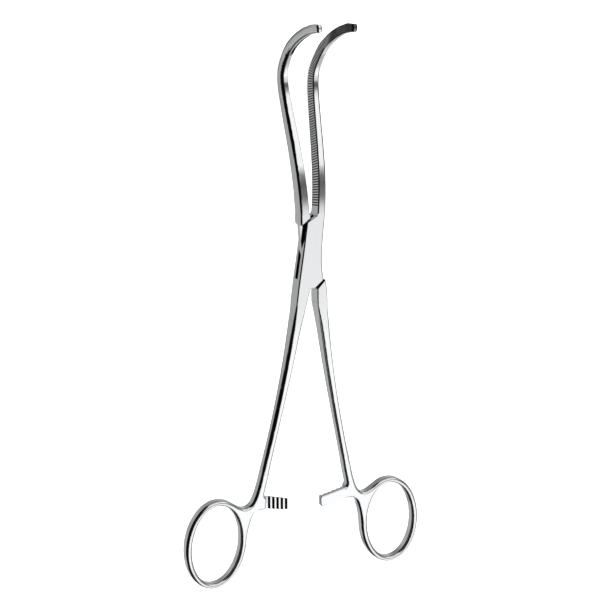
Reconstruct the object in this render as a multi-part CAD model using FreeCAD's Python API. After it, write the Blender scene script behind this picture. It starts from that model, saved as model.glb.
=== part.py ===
import FreeCAD, Part
import os
import math

# ---------------------------------------------------------------------------
# Kidney pedicle clamp, ring-handled, box lock, double-curved jaws, 23 cm.
#
# Row frame: origin on the lock pin's axis, half way through the box lock.
#   +Z  along the lock pin, towards the face with the ratchet teeth in view
#   +Y  from the pin towards the jaws
#   +X  the way the jaws open, towards the jaw of the female half
# Everything is drawn first in the closed position, where the two halves
# mirror each other in the plane X = 0, and then each half is swung by
# HALF_OPEN to the relaxed, slightly open rest position.
# All lengths in millimetres.
# ---------------------------------------------------------------------------

HALF_OPEN = 4.46          # degrees each half is swung at rest

# box lock
BOX_T = 6.4               # total thickness along the pin
SLOT_T = 2.30             # slot in the female box
TONGUE_T = 2.14           # tongue of the male half
PIN_R = 1.50              # lock pin
PIN_HOLE_M = 1.55         # hole in the tongue, running fit
BOX_EDGE_R = 0.55         # rounding along the female box's closed side
JAW_EDGE_R = 0.80         # rounding where the blocks run into the jaws

# jaws: path of the middle of the depth (Y, Z), width and depth along it
JAW_PATH = [(16.0, 0.0), (21.0, -0.53), (25.0, -1.28), (29.0, -2.19), (33.0, -3.30),
            (38.0, -5.05), (42.0, -6.50), (49.0, -9.20), (56.0, -11.85), (61.0, -13.50),
            (65.0, -14.45), (67.5, -14.68), (69.7, -14.50), (72.0, -13.75), (75.0, -12.0),
            (78.8, -9.05), (84.2, -1.95), (87.6, 5.3), (89.55, 11.9), (90.35, 17.7)]
JAW_START = -0.02         # slope of the path where the jaw leaves the box
JAW_WIDTH_F = [(0.0, 3.50), (0.12, 3.50), (0.30, 3.42), (0.55, 3.12), (0.80, 2.62), (1.0, 2.35)]
JAW_WIDTH_M = [(0.0, 3.75), (0.12, 3.62), (0.30, 3.40), (0.55, 2.95), (0.80, 2.52), (1.0, 2.35)]
JAW_DEPTH = [(0.0, 6.384), (0.10, 6.34), (0.28, 6.15), (0.50, 5.50), (0.66, 4.80),
             (0.80, 4.05), (0.92, 3.60), (1.0, 3.40)]
# inner face of each jaw from X = 0 in the drawing position; the hooks lean in,
# so the tips are the first to meet
JAW_GAP_F = [(0.0, 0.0), (0.12, 0.08), (0.30, 0.20), (0.50, 0.28), (0.62, 0.20), (0.75, -0.05), (0.88, -0.32), (1.0, -0.52)]
JAW_GAP_M = [(0.0, 0.90), (0.12, 0.58), (0.30, 0.18), (0.50, 0.05), (0.62, -0.06), (0.75, -0.34), (0.88, -0.68), (1.0, -1.00)]
JAW_OUTER_RX = [(0.0, 0.80), (0.12, 0.90), (0.3, 1.12), (0.6, 1.15), (0.8, 0.95), (1.0, 0.80)]    # rounding of the outer corners across
JAW_OUTER_RZ = [(0.0, 0.80), (0.15, 1.02), (0.35, 1.65), (0.6, 1.85), (0.85, 1.30), (1.0, 1.10)]    # and in depth
JAW_INNER_C = 0.42        # chamfer along the serrated face
JAW_TIP_DOME = 1.9        # length of the domed tip
JAW_TIP_WIDEN = 1.36      # dome's width and depth over those of the jaw
TOOTH_PITCH = 1.00        # cross serration
TOOTH_DEPTH = 0.30
TOOTH_MOUTH = 0.52
TOOTH_FIRST = 3.2         # distance of the first groove from the jaw's root
TOOTH_LAST = 0.9          # distance of the last groove from the tip

# where a shank or jaw grows out of a block, the block reaches past its first
# section by LAP_LENGTH and stands proud of it by LAP_PROUD
LAP_LENGTH = 0.30
LAP_PROUD = 0.012

# shanks: Y, then centre X, width (X), thickness (Z) and the rounding of the long
# edges in X and Z, male side, in the drawing position
SHANK = [(-20.0, 3.06, 4.56, 6.36, 0.60, 0.64), (-27.0, 3.66, 4.12, 6.28, 0.95, 1.20),
         (-35.4, 4.42, 3.78, 6.00, 1.08, 1.60), (-43.5, 5.16, 3.55, 5.62, 1.02, 1.85),
         (-52.0, 6.10, 3.38, 5.25, 1.06, 1.95), (-60.0, 7.08, 3.25, 4.97, 1.09, 1.90),
         (-68.0, 8.17, 3.16, 4.76, 1.12, 1.80), (-76.0, 9.33, 3.12, 4.64, 1.15, 1.62),
         (-83.0, 10.40, 3.14, 4.60, 1.15, 1.38), (-90.0, 11.42, 3.22, 4.60, 1.13, 1.15)]

# finger rings
RING_C = (30.05, -117.95)
RING_OUT = (13.13, 18.40)     # semi-axes, outside
RING_IN = (10.55, 16.12)      # semi-axes, opening
RING_T = 4.64
RING_EDGE_R = 1.12

# ratchet arms
ARM_TIP_X = -1.55
ARM_GAP = 0.10                # from the mid plane to the tooth crests
RATCHET_PITCH = 1.90
RATCHET_DEPTH_F = 1.00        # female half's arm
RATCHET_DEPTH_M = 0.50        # male half's arm
RATCHET_TEETH = 5

os.makedirs("parts", exist_ok=True)


def V(x, y, z=0.0):
    return FreeCAD.Vector(x, y, z)


def table(tab, s):
    if s <= tab[0][0]:
        return tab[0][1]
    for (a, fa), (b, fb) in zip(tab, tab[1:]):
        if s <= b:
            u = (s - a) / (b - a)
            u = u * u * (3 - 2 * u) * 0.35 + u * 0.65
            return fa + (fb - fa) * u
    return tab[-1][1]


def spline(pts, t0=None, t1=None):
    c = Part.BSplineCurve()
    if t0 is not None and t1 is not None:
        c.interpolate(Points=pts, InitialTangent=V(*t0).normalize(), FinalTangent=V(*t1).normalize(), Scale=False)
    else:
        c.interpolate(pts)
    return c.toShape()


def line(a, b):
    return Part.LineSegment(a, b).toShape()


def face_of(edges):
    w = Part.Wire(Part.__sortEdges__(edges))
    return Part.Face(w)


def poly_prism(pts, z0, z1):
    p = [V(x, y, z0) for x, y in pts]
    f = Part.Face(Part.makePolygon(p + [p[0]]))
    return f.extrude(V(0, 0, z1 - z0))


# --------------------------------------------------------------- jaws ------
def jaw_curve():
    c = Part.BSplineCurve()
    pts = [V(0, y, z) for y, z in JAW_PATH]
    c.interpolate(Points=pts, InitialTangent=V(0, 1, JAW_START).normalize(), FinalTangent=V(0, 0.13, 1.0).normalize(), Scale=False)
    return c


def jaw_frames(n):
    """n frames evenly spaced along the jaw's path: s, point, tangent, depth axis"""
    c = jaw_curve()
    L = c.length()
    us = c.toShape().discretize(n)
    out = []
    for i, p in enumerate(us):
        u = c.parameter(p)
        t = c.tangent(u)[0]
        t = V(0, t.y, t.z)
        t.normalize()
        v = V(0, -t.z, t.y)
        out.append((i / (n - 1.0), V(0, p.y, p.z), t, v))
    return out, L


def gap(side, s):
    return table(JAW_GAP_F if side > 0 else JAW_GAP_M, s)


def width(side, s):
    return table(JAW_WIDTH_F if side > 0 else JAW_WIDTH_M, s)


def corner(a, k, b):
    """a quarter of an ellipse from a to b whose tangents meet at k"""
    q = 0.5523
    c = Part.BezierCurve()
    c.setPoles([a, a + (k - a) * q, b + (k - b) * q, b])
    return c.toShape()


def jaw_section(s, p, t, v, side):
    w = width(side, s)
    d = table(JAW_DEPTH, s)
    g = gap(side, s)
    rx = table(JAW_OUTER_RX, s)
    rz = table(JAW_OUTER_RZ, s)
    ch = JAW_INNER_C
    X = V(side, 0, 0)

    def at(a, b):
        return p + X * a + v * b
    i0 = at(g, -d / 2 + ch)
    i1 = at(g, d / 2 - ch)
    i2 = at(g + ch, d / 2)
    i3 = at(g + ch, -d / 2)
    a1 = at(g + w - rx, d / 2)
    a2 = at(g + w, d / 2 - rz)
    b1 = at(g + w, -d / 2 + rz)
    b2 = at(g + w - rx, -d / 2)
    e = [line(i0, i1), line(i1, i2), line(i2, a1), corner(a1, at(g + w, d / 2), a2),
         line(a2, b1), corner(b1, at(g + w, -d / 2), b2), line(b2, i3), line(i3, i0)]
    return Part.Wire(e)


def jaw(side):
    frames, L = jaw_frames(27)
    wires = [jaw_section(s, p, t, v, side) for s, p, t, v in frames]
    body = Part.makeLoft(wires, True, False)
    # domed tip
    _, p, t, v = frames[-1]
    w = width(side, 1)
    c = p + V(side * (gap(side, 1) + w / 2), 0, 0) - t * JAW_TIP_DOME
    X = V(1, 0, 0)
    m = FreeCAD.Matrix(X.x, v.x, t.x, c.x, X.y, v.y, t.y, c.y, X.z, v.z, t.z, c.z, 0, 0, 0, 1)
    k = FreeCAD.Matrix()
    k.scale(w / 2 * JAW_TIP_WIDEN, table(JAW_DEPTH, 1) / 2 * JAW_TIP_WIDEN, JAW_TIP_DOME)
    dome = Part.makeSphere(1.0).transformGeometry(m * k)
    block = Part.makeBox(8, 8, 5, V(-4, -4, 0)).transformGeometry(m)
    body = body.cut(block.cut(dome)).Solids[0]
    return body, L


def serrations(side, L):
    """wedges that cut the cross serration into the inner face of one jaw"""
    n = int((L - TOOTH_FIRST - TOOTH_LAST) / TOOTH_PITCH)
    frames, _ = jaw_frames(int(round(L / 0.25)) + 1)
    m = len(frames) - 1
    tools = []
    for i in range(n + 1):
        s = (TOOTH_FIRST + i * TOOTH_PITCH) / L
        k = min(m, int(round(s * m)))
        _, p, t, v = frames[k]
        g = gap(side, frames[k][0])
        d = table(JAW_DEPTH, frames[k][0])
        X = V(side, 0, 0)
        h = TOOTH_MOUTH / 2
        over = 0.2
        wide = h * (TOOTH_DEPTH + over) / TOOTH_DEPTH
        a = p + X * (g - over) - t * wide - v * (d / 2 + 0.6)
        b = p + X * (g - over) + t * wide - v * (d / 2 + 0.6)
        c = p + X * (g + TOOTH_DEPTH) - v * (d / 2 + 0.6)
        f = Part.Face(Part.makePolygon([a, b, c, a]))
        tools.append(f.extrude(v * (d + 1.2)))
    return tools


# -------------------------------------------------------------- shanks -----
def shank_section(y, cx, w, t, rx, rz, side):
    X = V(side, 0, 0)
    Z = V(0, 0, 1)
    c = V(0, y, 0)

    def at(a, b):
        return c + X * (cx + a) + Z * b
    a = w / 2.0
    b = t / 2.0
    e = [line(at(-a, -b + rz), at(-a, b - rz)),
         corner(at(-a, b - rz), at(-a, b), at(-a + rx, b)),
         line(at(-a + rx, b), at(a - rx, b)),
         corner(at(a - rx, b), at(a, b), at(a, b - rz)),
         line(at(a, b - rz), at(a, -b + rz)),
         corner(at(a, -b + rz), at(a, -b), at(a - rx, -b)),
         line(at(a - rx, -b), at(-a + rx, -b)),
         corner(at(-a + rx, -b), at(-a, -b), at(-a, -b + rz))]
    return Part.Wire(e)


def shank_at(y):
    """y, centre X and width with the lap added, read between the sections"""
    for a, b in zip(SHANK, SHANK[1:]):
        if a[0] >= y >= b[0]:
            u = (a[0] - y) / (a[0] - b[0])
            return y, a[1] + (b[1] - a[1]) * u, a[2] + (b[2] - a[2]) * u + 2 * LAP_PROUD
    raise ValueError(y)


def shank(side):
    wires = [shank_section(y, cx, w, t, rx, rz, side) for y, cx, w, t, rx, rz in SHANK]
    return Part.makeLoft(wires, True, False)


def ring_and_arm(side, arm_front):
    """finger ring, its neck and the ratchet arm, drawn on +X and mirrored by side"""
    def P(x, y, z=-RING_T / 2):
        return V(side * x, y, z)
    yt, cx, w = shank_at(SHANK[-1][0] + LAP_LENGTH)
    cx0, cy0 = RING_C
    ao, bo = RING_OUT

    def E(deg):
        a = math.radians(deg)
        return P(cx0 + ao * math.cos(a), cy0 + bo * math.sin(a))
    # outside of the neck: shank, valley, ring top
    outer = [P(cx + w / 2, yt), P(13.62, -93.5), P(14.42, -97.3), P(15.40, -100.3),
             P(16.75, -102.35), P(18.75, -103.30), P(21.1, -102.85), P(24.1, -101.3), E(96)]
    tx = E(90).x - E(96).x
    ty = E(90).y - E(96).y
    e_outer = spline(outer, V(side * 0.145, -1, 0), V(tx, ty, 0).normalize())
    # around the ring, clockwise on +X, to the inboard side
    a_end = 178.0 - 360.0
    arc_pts = [E(96 - i * (96 - a_end) / 24.0) for i in range(25)]
    t0 = arc_pts[1] - E(96 + 11.4)
    t1 = E(a_end - 5) - E(a_end + 5)
    e_ring = spline(arc_pts, t0.normalize(), t1.normalize())
    # inboard side up to the arm's underside
    p_in = [arc_pts[-1], P(16.72, -113.6), P(16.30, -110.8), P(15.72, -108.2), P(14.75, -106.0),
            P(13.15, -104.75), P(11.2, -104.45), P(8.8, -104.75)]
    e_in = spline(p_in, t1.normalize(), V(side * -1, -0.135, 0).normalize())
    # top of the arm back to the shank
    p_top = [P(8.8, -99.55), P(10.1, -99.2), P(10.86, -98.35), P(10.86, -96.8), P(10.55, -94.8),
             P(10.12, -92.2), P(cx - w / 2, yt)]
    e_top = spline(p_top, V(side * 1, 0.17, 0).normalize(), V(side * -0.145, 1, 0))
    e_arm = line(p_in[-1], p_top[0])
    e_cut = line(p_top[-1], outer[0])
    plate = face_of([e_outer, e_ring, e_in, e_arm, e_top, e_cut]).extrude(V(0, 0, RING_T))
    el = Part.Ellipse(V(side * cx0, cy0, -RING_T), bo, ao)
    el.Axis = V(0, 0, 1)
    el.XAxis = V(0, 1, 0)
    el.MajorRadius = RING_IN[1]
    el.MinorRadius = RING_IN[0]
    hole = Part.Face(Part.Wire([el.toShape()])).extrude(V(0, 0, 2 * RING_T))
    plate = plate.cut(hole).Solids[0]
    # round all long edges on both faces, except at the two cuts
    es = []
    for e in plate.Edges:
        m = e.valueAt((e.FirstParameter + e.LastParameter) / 2)
        if abs(abs(m.z) - RING_T / 2) > 1e-4:
            continue
        flat = all(abs(v.Z - e.Vertexes[0].Z) < 1e-6 for v in e.Vertexes)
        if not flat:
            continue
        if e.Length < 6 and abs(m.y - yt) < 1e-3:
            continue
        if abs(m.x - side * 8.8) < 1e-3 and e.Length < 7:
            continue
        es.append(e)
    plate = plate.makeFillet(RING_EDGE_R, es)
    # the arm: half the thickness, teeth on the side that meets the other arm
    z0, z1 = (ARM_GAP, RING_T / 2) if arm_front else (-RING_T / 2, -ARM_GAP)
    tip = ARM_TIP_X
    a0 = P(9.6, -104.62, z0)
    a1 = P(tip + 1.3, -105.70, z0)
    a2 = P(tip + 0.25, -105.05, z0)
    a3 = P(tip, -104.1, z0)
    a4 = P(tip, -102.1, z0)
    a5 = P(tip + 0.2, -101.35, z0)
    a6 = P(tip + 1.0, -100.95, z0)
    a7 = P(9.6, -99.4, z0)
    arm = face_of([line(a0, a1), Part.Arc(a1, a2, a3).toShape(), line(a3, a4),
                   Part.Arc(a4, a5, a6).toShape(), line(a6, a7), line(a7, a0)])
    arm = arm.extrude(V(0, 0, z1 - z0))
    zout = z1 if arm_front else z0
    es = []
    for e in arm.Edges:
        m = e.valueAt((e.FirstParameter + e.LastParameter) / 2)
        if abs(m.z - zout) < 1e-4 and abs(m.x - side * 9.6) > 0.01:
            es.append(e)
    arm = arm.makeFillet(0.45, es)
    # grooves across the arm: upright face towards the arm's own shank
    zc = z0 if arm_front else z1
    up = 1.0 if arm_front else -1.0       # direction into the arm from the crests
    deep = RATCHET_DEPTH_M if arm_front else RATCHET_DEPTH_F
    lean = 0.12
    tools = []
    for i in range(RATCHET_TEETH):
        x = tip + 1.05 + i * RATCHET_PITCH
        prof = [(x, -0.3), (x, deep), (x + 0.55, deep), (x + 1.15, 0.0), (x + 1.15, -0.3)]
        lo = [V(side * (a - lean * 3.6), -106.6, zc + up * b) for a, b in prof]
        f = Part.Face(Part.makePolygon(lo + [lo[0]]))
        tools.append(f.extrude(V(side * lean * 7.2, 8.0, 0)))
    for tool in tools:
        arm = arm.cut(tool).Solids[0]
    # the neck slopes down to the arm on the toothed side, which leaves room for the other arm
    zc2, zo = (ARM_GAP, -RING_T) if arm_front else (-ARM_GAP, RING_T)
    zf = -RING_T / 2 if arm_front else RING_T / 2
    prof = [(6.0, zc2), (9.40, zc2), (10.75, zf), (10.75 + 1.35 * 0.5, zo), (6.0, zo)]
    lo = [V(side * a, -108.0, b) for a, b in prof]
    relief = Part.Face(Part.makePolygon(lo + [lo[0]])).extrude(V(0, 10.6, 0))
    plate = plate.cut(relief).Solids[0]
    return plate, arm


# ------------------------------------------------------------ box lock -----
def rounded(solid, test, r):
    es = [e for e in solid.Edges if test(e)]
    try:
        f = solid.makeFillet(r, es)
        if f.isValid() and f.Solids:
            return f.Solids[0]
    except Exception:
        pass
    print("a rounding was left out", r, len(es))
    return solid


def mid(e):
    return e.valueAt((e.FirstParameter + e.LastParameter) / 2)


def female_box():
    h = BOX_T / 2
    s0 = shank_at(SHANK[0][0] - LAP_LENGTH)
    yj = JAW_PATH[0][0] + LAP_LENGTH
    g0 = gap(1, 0) - LAP_PROUD
    w0 = width(1, 0) + 2 * LAP_PROUD

    def P(x, y):
        return V(x, y, -h)
    # left side, from the shoulder to the shank
    left = [P(-4.20, 12.55), P(-4.45, 5.0), P(-4.82, -4.0), P(-5.10, -10.0), P(-5.30, -16.0), P(-s0[1] - s0[2] / 2, s0[0])]
    e_left = spline(left)
    # right side, from the lower shoulder to the jaw
    right = [P(5.55, -9.45), P(5.02, -7.3), P(4.18, -2.75), P(3.70, 3.0), P(3.55, 9.0), P(g0 + w0, yj)]
    e_right = spline(right)
    inner = [P(-s0[1] + s0[2] / 2, s0[0]), P(-0.38, -17.2), P(-0.02, -14.9), P(0.35, -13.35)]
    e_inner = spline(inner)
    top_in = P(g0, yj)
    top_lo = P(g0, 15.35)
    e = [e_left, line(left[-1], inner[0]), e_inner, line(inner[-1], P(2.05, -13.0)),
         line(P(2.05, -13.0), right[0]), e_right, line(right[-1], top_in), line(top_in, top_lo),
         line(top_lo, left[0])]
    b = face_of(e).extrude(V(0, 0, BOX_T))

    def closed_side(ed):
        m = mid(ed)
        if abs(abs(m.z) - h) > 1e-4:
            return False
        if ed.Length > 12 and m.x < -4.0:
            return True
        return 5 < ed.Length < 8 and -0.6 < m.x < 0.5 and m.y < -15

    def jaw_side(ed):
        m = mid(ed)
        return abs(abs(m.z) - h) < 1e-4 and ed.Length > 12 and m.x > 3.3
    b = rounded(b, closed_side, BOX_EDGE_R)
    return rounded(b, jaw_side, JAW_EDGE_R)


def female_slot():
    """room for the tongue, open on both sides of the box"""
    t = SLOT_T / 2
    g0 = gap(1, 0)
    pts = [(-9, 17.5), (-9, -10.2), (-5.0, -10.2), (0.30, -13.36), (0.30, -16), (9, -16),
           (9, 10.2), (3.3, 10.2), (g0 - 0.06, 15.0), (g0 - 0.06, 17.5)]
    return poly_prism(pts, -t, t)


def male_top():
    h = BOX_T / 2
    yj = JAW_PATH[0][0] + LAP_LENGTH
    g0 = gap(-1, 0) - LAP_PROUD
    w0 = width(-1, 0) + 2 * LAP_PROUD

    def P(x, y):
        return V(x, y, -h)
    e_out = spline([P(-4.78, 12.32), P(-4.76, 14.2), P(-(g0 + w0), yj)])
    e = [e_out, line(P(-(g0 + w0), yj), P(-g0, yj)), line(P(-g0, yj), P(-g0, 15.00)),
         line(P(-g0, 15.00), P(-4.78, 12.32))]
    b = face_of(e).extrude(V(0, 0, BOX_T))

    def sides(ed):
        m = mid(ed)
        return abs(abs(m.z) - h) < 1e-4 and m.x < -3.7 and ed.Length > 1.5
    return rounded(b, sides, JAW_EDGE_R)


def male_bottom():
    h = BOX_T / 2
    s0 = shank_at(SHANK[0][0] - LAP_LENGTH)

    def P(x, y):
        return V(x, y, -h)
    outer = [P(4.75, -10.85), P(5.17, -13.4), P(5.34, -16.6), P(s0[1] + s0[2] / 2, s0[0])]
    inner = [P(s0[1] - s0[2] / 2, s0[0]), P(0.86, -17.2), P(0.98, -15.2), P(1.08, -14.25)]
    e = [spline(outer), line(outer[-1], inner[0]), spline(inner), line(inner[-1], outer[0])]
    b = face_of(e).extrude(V(0, 0, BOX_T))

    def sides(ed):
        m = mid(ed)
        if abs(abs(m.z) - h) > 1e-4:
            return False
        return ed.Length > 5.5 and (m.x > 5.0 or m.x < 1.2)
    return rounded(b, sides, BOX_EDGE_R)


def male_tongue():
    t = TONGUE_T / 2
    R = 10.9
    a0 = math.radians(247.5)
    a1 = math.radians(274.5)
    arc = [(R * math.cos(a0 + (a1 - a0) * i / 6.0), R * math.sin(a0 + (a1 - a0) * i / 6.0)) for i in range(7)]

    def P(x, y):
        return V(x, y, -t)
    left = [P(-4.68, 13.6), P(-4.62, 11.0), P(-4.45, 7.5), P(-4.28, 3.5), P(-4.20, -2.0), P(-4.22, -7.0), P(arc[0][0], arc[0][1])]
    right = [P(3.00, 9.2), P(3.10, 4.0), P(3.35, -2.0), P(3.85, -7.0), P(4.62, -11.2)]
    e = [spline(left), spline([P(x, y) for x, y in arc]), line(P(*arc[-1]), P(1.15, -14.6)),
         line(P(1.15, -14.6), P(4.85, -14.6)), line(P(4.85, -14.6), right[-1]), spline(right),
         line(right[0], P(-1.00, 14.9)), line(P(-1.00, 14.9), P(-1.00, 15.9)),
         line(P(-1.00, 15.9), P(-3.9, 15.9)), line(P(-3.9, 15.9), left[0])]
    return face_of(e).extrude(V(0, 0, TONGUE_T))


def fuse(shapes):
    s = shapes[0].fuse(shapes[1:])
    s = s.removeSplitter()
    if len(s.Solids) != 1:
        print("solids after fuse", len(s.Solids))
    return s.Solids[0]


def make_female():
    j, L = jaw(1)
    plate, arm = ring_and_arm(-1, False)
    body = fuse([female_box(), j, shank(-1), plate, arm])
    body = body.cut(female_slot())
    body = body.cut(Part.makeCylinder(PIN_R, 20, V(0, 0, -10), V(0, 0, 1)))
    body = body.cut(serrations(1, L))
    return body


def make_male():
    j, L = jaw(-1)
    plate, arm = ring_and_arm(1, True)
    body = fuse([male_top(), j, male_tongue(), male_bottom(), shank(1), plate, arm])
    body = body.cut(Part.makeCylinder(PIN_HOLE_M, 20, V(0, 0, -10), V(0, 0, 1)))
    body = body.cut(serrations(-1, L))
    return body


def write(shape, name, swing):
    s = shape.copy()
    s.rotate(V(0, 0, 0), V(0, 0, 1), swing)
    if len(s.Solids) == 1:
        s = s.Solids[0]
    print(name, "solids", len(s.Solids), "valid", s.isValid(), "volume mm3", round(s.Volume, 1),
          "box", [round(v, 2) for v in (s.BoundBox.XMin, s.BoundBox.XMax, s.BoundBox.YMin, s.BoundBox.YMax,
                                        s.BoundBox.ZMin, s.BoundBox.ZMax)])
    s.exportStep("parts/%s.step" % name)


female = make_female()
male = make_male()
pin = Part.makeCylinder(PIN_R, BOX_T, V(0, 0, -BOX_T / 2), V(0, 0, 1))
write(female, "female_half", -HALF_OPEN)
write(male, "male_half", HALF_OPEN)
write(pin, "lock_pin", 0)
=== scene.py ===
import bpy
import math
from mathutils import Matrix, Vector


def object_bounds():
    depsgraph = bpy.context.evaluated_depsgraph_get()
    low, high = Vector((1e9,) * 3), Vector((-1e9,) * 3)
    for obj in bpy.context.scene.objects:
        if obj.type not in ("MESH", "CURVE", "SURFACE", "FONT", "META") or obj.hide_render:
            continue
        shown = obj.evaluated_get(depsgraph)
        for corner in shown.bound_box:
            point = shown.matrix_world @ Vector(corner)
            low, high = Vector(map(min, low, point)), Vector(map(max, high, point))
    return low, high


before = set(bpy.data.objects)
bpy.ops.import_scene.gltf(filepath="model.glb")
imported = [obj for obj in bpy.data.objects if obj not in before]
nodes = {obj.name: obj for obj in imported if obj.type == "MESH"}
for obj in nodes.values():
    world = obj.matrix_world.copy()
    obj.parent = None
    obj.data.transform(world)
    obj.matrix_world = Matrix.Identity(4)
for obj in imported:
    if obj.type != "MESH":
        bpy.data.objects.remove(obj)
CAD_BOX = [list(v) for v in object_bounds()]


# ---------------------------------------------------------------- materials
def principled(name, color, metallic, rough):
    m = bpy.data.materials.new(name)
    m.use_nodes = True
    b = m.node_tree.nodes["Principled BSDF"]
    b.inputs["Base Color"].default_value = (*color, 1)
    b.inputs["Metallic"].default_value = metallic
    b.inputs["Roughness"].default_value = rough
    return m, b


def steel(name, color, r_lo, r_hi, brush, lumps, more_painted_shade=False):
    """polished steel: fine lines left by polishing along the instrument, soft
    patches of slightly duller metal and a barely uneven surface"""
    m, b = principled(name, color, 1.0, r_lo)
    nt = m.node_tree
    N, L = nt.nodes, nt.links
    tc = N.new("ShaderNodeTexCoord")
    mp = N.new("ShaderNodeMapping")
    mp.inputs["Scale"].default_value = (2600.0, 130.0, 2600.0)
    L.new(tc.outputs["Object"], mp.inputs["Vector"])
    lines = N.new("ShaderNodeTexNoise")
    lines.inputs["Scale"].default_value = 1.0
    lines.inputs["Detail"].default_value = 3.0
    L.new(mp.outputs["Vector"], lines.inputs["Vector"])
    patch = N.new("ShaderNodeTexNoise")
    patch.inputs["Scale"].default_value = 95.0
    patch.inputs["Detail"].default_value = 4.0
    L.new(tc.outputs["Object"], patch.inputs["Vector"])
    mix = N.new("ShaderNodeMath")
    mix.operation = "MULTIPLY_ADD"
    mix.inputs[1].default_value = 0.35
    L.new(lines.outputs["Fac"], mix.inputs[0])
    half = N.new("ShaderNodeMath")
    half.operation = "MULTIPLY"
    half.inputs[1].default_value = 0.65
    L.new(patch.outputs["Fac"], half.inputs[0])
    L.new(half.outputs[0], mix.inputs[2])
    mr = N.new("ShaderNodeMapRange")
    mr.inputs["From Min"].default_value = 0.36
    mr.inputs["From Max"].default_value = 0.64
    mr.inputs["To Min"].default_value = r_lo
    mr.inputs["To Max"].default_value = r_hi
    L.new(mix.outputs[0], mr.inputs["Value"])
    L.new(mr.outputs["Result"], b.inputs["Roughness"])
    swell = N.new("ShaderNodeTexNoise")
    swell.inputs["Scale"].default_value = 70.0
    swell.inputs["Detail"].default_value = 1.0
    L.new(tc.outputs["Object"], swell.inputs["Vector"])
    b1 = N.new("ShaderNodeBump")
    b1.inputs["Strength"].default_value = lumps
    b1.inputs["Distance"].default_value = 0.0004
    L.new(swell.outputs["Fac"], b1.inputs["Height"])
    b2 = N.new("ShaderNodeBump")
    b2.inputs["Strength"].default_value = brush
    b2.inputs["Distance"].default_value = 0.00002
    L.new(lines.outputs["Fac"], b2.inputs["Height"])
    L.new(b1.outputs["Normal"], b2.inputs["Normal"])
    L.new(b2.outputs["Normal"], b.inputs["Normal"])
    # painted shade: grooves, slots and the lock's joints get a base colour darkened towards near-black where
    # ambient occlusion finds them enclosed
    ao = N.new("ShaderNodeAmbientOcclusion")
    ao.samples = 12
    ao.inputs["Distance"].default_value = 0.0016
    crevice_shade_ramp = N.new("ShaderNodeMapRange")
    # painted shade in the crevices starts earlier, and so is stronger, on the female half
    crevice_shade_ramp.inputs["From Min"].default_value = 0.66 if more_painted_shade else 0.50
    crevice_shade_ramp.inputs["From Max"].default_value = 0.93
    crevice_shade_ramp.inputs["To Min"].default_value = 0.0
    crevice_shade_ramp.inputs["To Max"].default_value = 1.0
    L.new(ao.outputs["AO"], crevice_shade_ramp.inputs["Value"])
    crevice_shaded_color = N.new("ShaderNodeMix")
    crevice_shaded_color.data_type = "RGBA"
    crevice_shaded_color.inputs["A"].default_value = (0.035, 0.035, 0.038, 1)
    crevice_shaded_color.inputs["B"].default_value = (*color, 1)
    L.new(crevice_shade_ramp.outputs["Result"], crevice_shaded_color.inputs["Factor"])
    result = crevice_shaded_color.outputs["Result"]
    if more_painted_shade:
        # painted shade: on the serration and the tip's end the base colour is darkened towards near-black, in
        # uneven patches: faces that look to -X, high on the hook, and the last millimetre and a half
        pos = N.new("ShaderNodeSeparateXYZ")
        L.new(tc.outputs["Object"], pos.inputs[0])
        nor = N.new("ShaderNodeSeparateXYZ")
        L.new(tc.outputs["Normal"], nor.inputs[0])
        high = N.new("ShaderNodeMapRange")
        high.interpolation_type = "SMOOTHSTEP"
        high.inputs["From Min"].default_value = -0.0035
        high.inputs["From Max"].default_value = 0.0010
        L.new(pos.outputs["Z"], high.inputs["Value"])
        jaw = N.new("ShaderNodeMath")
        jaw.operation = "GREATER_THAN"
        jaw.inputs[1].default_value = 0.07
        L.new(pos.outputs["Y"], jaw.inputs[0])
        inner = N.new("ShaderNodeMath")
        inner.operation = "LESS_THAN"
        inner.inputs[1].default_value = -0.5
        L.new(nor.outputs["X"], inner.inputs[0])
        end = N.new("ShaderNodeMapRange")
        end.interpolation_type = "SMOOTHSTEP"
        end.inputs["From Min"].default_value = 0.0154
        end.inputs["From Max"].default_value = 0.0166
        L.new(pos.outputs["Z"], end.inputs["Value"])
        where = N.new("ShaderNodeMath")
        where.operation = "MAXIMUM"
        L.new(inner.outputs[0], where.inputs[0])
        L.new(end.outputs["Result"], where.inputs[1])
        both = N.new("ShaderNodeMath")
        both.operation = "MULTIPLY"
        L.new(high.outputs["Result"], both.inputs[0])
        L.new(jaw.outputs[0], both.inputs[1])
        amount = N.new("ShaderNodeMath")
        amount.operation = "MULTIPLY"
        L.new(both.outputs[0], amount.inputs[0])
        L.new(where.outputs[0], amount.inputs[1])
        spots = N.new("ShaderNodeMapRange")
        spots.inputs["From Min"].default_value = 0.35
        spots.inputs["From Max"].default_value = 0.65
        spots.inputs["To Min"].default_value = 0.55
        spots.inputs["To Max"].default_value = 1.0
        L.new(patch.outputs["Fac"], spots.inputs["Value"])
        share = N.new("ShaderNodeMath")
        share.operation = "MULTIPLY"
        L.new(amount.outputs[0], share.inputs[0])
        L.new(spots.outputs["Result"], share.inputs[1])
        shade = N.new("ShaderNodeMix")
        shade.data_type = "RGBA"
        shade.inputs["B"].default_value = (0.07, 0.07, 0.072, 1)
        L.new(share.outputs[0], shade.inputs["Factor"])
        L.new(result, shade.inputs["A"])
        result = shade.outputs["Result"]
    L.new(result, b.inputs["Base Color"])
    return m


STEEL = steel("polished_steel", (0.50, 0.505, 0.51), 0.05, 0.12, 0.06, 0.035)
# the female half's material carries the extra painted shade on its serration and tip
STEEL_F = steel("polished_steel_female", (0.50, 0.505, 0.51), 0.05, 0.12, 0.06, 0.035, more_painted_shade=True)
PIN = steel("pin_steel", (0.50, 0.505, 0.51), 0.05, 0.11, 0.05, 0.03)

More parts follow.
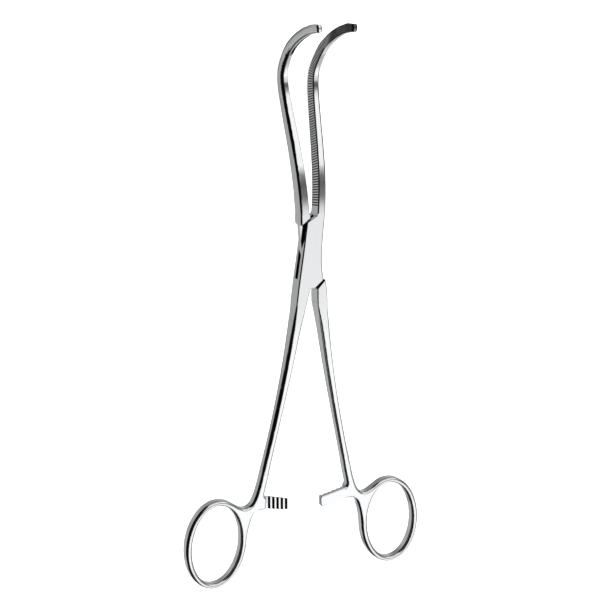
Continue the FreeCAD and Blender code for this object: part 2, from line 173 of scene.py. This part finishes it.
for name, o in nodes.items():
    o.data.materials.clear()
    o.data.materials.append({"lock_pin": PIN, "female_half": STEEL_F}.get(name, STEEL))


# ------------------------------------------------------- floor and lighting
def diffuse(name, value):
    m, b = principled(name, (value, value, value), 0.0, 1.0)
    b.inputs["Specular IOR Level"].default_value = 0.0
    return m


bpy.ops.mesh.primitive_plane_add(size=6.0, location=(0, 0, CAD_BOX[0][2] - 0.0003))
floor = bpy.context.object
floor.name = "floor"
floor.data.materials.append(diffuse("floor", 0.93))
floor.visible_glossy = False

# A light tent: bright panels overhead with a seam between them, a black flag
# low on the left and plain grey below the table's height. The metal shows the
# grey where its sides face down.
world = bpy.data.worlds.new("studio")
bpy.context.scene.world = world
world.use_nodes = True
nt = world.node_tree
nt.nodes.clear()
N, L = nt.nodes, nt.links
out = N.new("ShaderNodeOutputWorld")
bg = N.new("ShaderNodeBackground")
L.new(bg.outputs[0], out.inputs["Surface"])
tc = N.new("ShaderNodeTexCoord")
xyz = N.new("ShaderNodeSeparateXYZ")
L.new(tc.outputs["Generated"], xyz.inputs[0])


def ramp(source, pairs):
    """piecewise smooth value against one component of the direction"""
    c = N.new("ShaderNodeValToRGB")
    c.color_ramp.interpolation = "EASE"
    lo, hi = pairs[0][0], pairs[-1][0]
    top = max(v for _, v in pairs)
    e = c.color_ramp.elements
    while len(e) < len(pairs):
        e.new(0.5)
    for k, (x, v) in zip(e, pairs):
        k.position = (x - lo) / (hi - lo)
        k.color = (v / top, v / top, v / top, 1)
    m = N.new("ShaderNodeMapRange")
    m.inputs["From Min"].default_value = lo
    m.inputs["From Max"].default_value = hi
    L.new(source, m.inputs["Value"])
    L.new(m.outputs["Result"], c.inputs["Fac"])
    return math_node("MULTIPLY", c.outputs["Color"], top)


def math_node(op, a, b):
    m = N.new("ShaderNodeMath")
    m.operation = op
    for k, v in ((0, a), (1, b)):
        if isinstance(v, (int, float)):
            m.inputs[k].default_value = v
        else:
            L.new(v, m.inputs[k])
    return m.outputs[0]


X, Y, Z = xyz.outputs["X"], xyz.outputs["Y"], xyz.outputs["Z"]
# overhead, from the handles' end (Y = -1) to the jaws' end (Y = +1)
over = ramp(Y, [(-1.0, 0.45), (-0.88, 0.9), (-0.74, 1.7), (-0.55, 1.9), (-0.31, 1.95), (-0.24, 1.62), (-0.12, 1.45),
                (0.04, 1.30), (0.16, 0.30), (0.25, 0.20), (0.29, 0.45), (0.42, 1.80), (0.62, 1.90), (0.85, 1.2),
                (1.0, 0.8)])
# a darker wall far on the right
far = ramp(X, [(-1.0, 1.0), (0.58, 1.0), (0.82, 0.36), (1.0, 0.26)])
over = math_node("MULTIPLY", over, far)
# below the horizon
under = ramp(Z, [(-1.0, 0.30), (-0.93, 0.42), (-0.89, 0.74), (-0.80, 0.86), (-0.62, 0.95), (-0.30, 1.05),
                 (0.0, 1.2)])
along = ramp(Y, [(-1.0, 1.2), (-0.62, 0.85), (-0.42, 0.95), (-0.28, 0.95), (-0.17, 0.92), (-0.09, 0.88),
                 (-0.01, 0.80), (0.15, 0.88), (0.30, 0.92), (0.46, 0.70), (0.62, 0.40), (1.0, 0.3)])
under = math_node("MULTIPLY", under, along)
side = ramp(Z, [(-0.12, 0.0), (0.12, 1.0)])
sky = math_node("ADD", math_node("MULTIPLY", over, side),
                math_node("MULTIPLY", under, math_node("SUBTRACT", 1.0, side)))
# the flag on the left, and its foot towards the handles' end
left = ramp(X, [(-1.0, 1.0), (-0.36, 1.0), (-0.16, 0.0), (1.0, 0.0)])
near = ramp(Y, [(-1.0, 1.0), (-0.62, 1.0), (-0.38, 0.0), (1.0, 0.0)])
band = ramp(math_node("SUBTRACT", Z, math_node("MULTIPLY", near, 0.20)),
            [(-1.0, 0.0), (-0.74, 0.0), (-0.60, 1.0), (1.0, 1.0)])
foot = math_node("MULTIPLY", ramp(X, [(-1.0, 0.0), (-0.64, 0.0), (-0.48, 0.85), (-0.14, 0.85), (0.04, 0.0), (1.0, 0.0)]),
                 ramp(Y, [(-1.0, 1.0), (-0.66, 1.0), (-0.48, 0.0), (1.0, 0.0)]))
black = math_node("MAXIMUM", math_node("MULTIPLY", left, band), foot)
flag = math_node("SUBTRACT", 1.0, math_node("MULTIPLY", black, 0.995))
sky = math_node("MULTIPLY", sky, flag)
lp = N.new("ShaderNodeLightPath")
seen = N.new("ShaderNodeMix")
seen.data_type = "FLOAT"
L.new(lp.outputs["Is Camera Ray"], seen.inputs[0])
L.new(sky, seen.inputs[2])
seen.inputs[3].default_value = 1.1
table = N.new("ShaderNodeMix")
table.data_type = "FLOAT"
L.new(lp.outputs["Is Diffuse Ray"], table.inputs[0])
L.new(seen.outputs[0], table.inputs[2])
table.inputs[3].default_value = 3.0
L.new(table.outputs[0], bg.inputs["Strength"])
bg.inputs["Color"].default_value = (1, 1, 1, 1)


# ------------------------------------------------------------------- camera
A, E, R = math.radians(26.7), math.radians(13.7), math.radians(1.39)
c = Vector((-math.sin(A) * math.cos(E), math.sin(E), math.cos(A) * math.cos(E)))
right = Vector((math.cos(A), 0, math.sin(A)))
up = c.cross(right)
rr = math.cos(R) * right + math.sin(R) * up
uu = -math.sin(R) * right + math.cos(R) * up
cam = bpy.data.objects.new("camera", bpy.data.cameras.new("camera"))
bpy.context.scene.collection.objects.link(cam)
cam.matrix_world = Matrix((
    (rr.x, uu.x, c.x, -0.35842),
    (rr.y, uu.y, c.y, 0.17375),
    (rr.z, uu.z, c.z, 0.70461),
    (0, 0, 0, 1)))
cam.data.sensor_width = 36.0
cam.data.lens = 36.0 * 2062.0 / 600.0
cam.data.clip_start = 0.01
cam.data.clip_end = 20.0
cam.data.dof.use_dof = False
bpy.context.scene.camera = cam

bpy.context.scene.view_settings.view_transform = "Standard"
bpy.context.scene.view_settings.look = "None"
bpy.context.scene.view_settings.exposure = 0.0
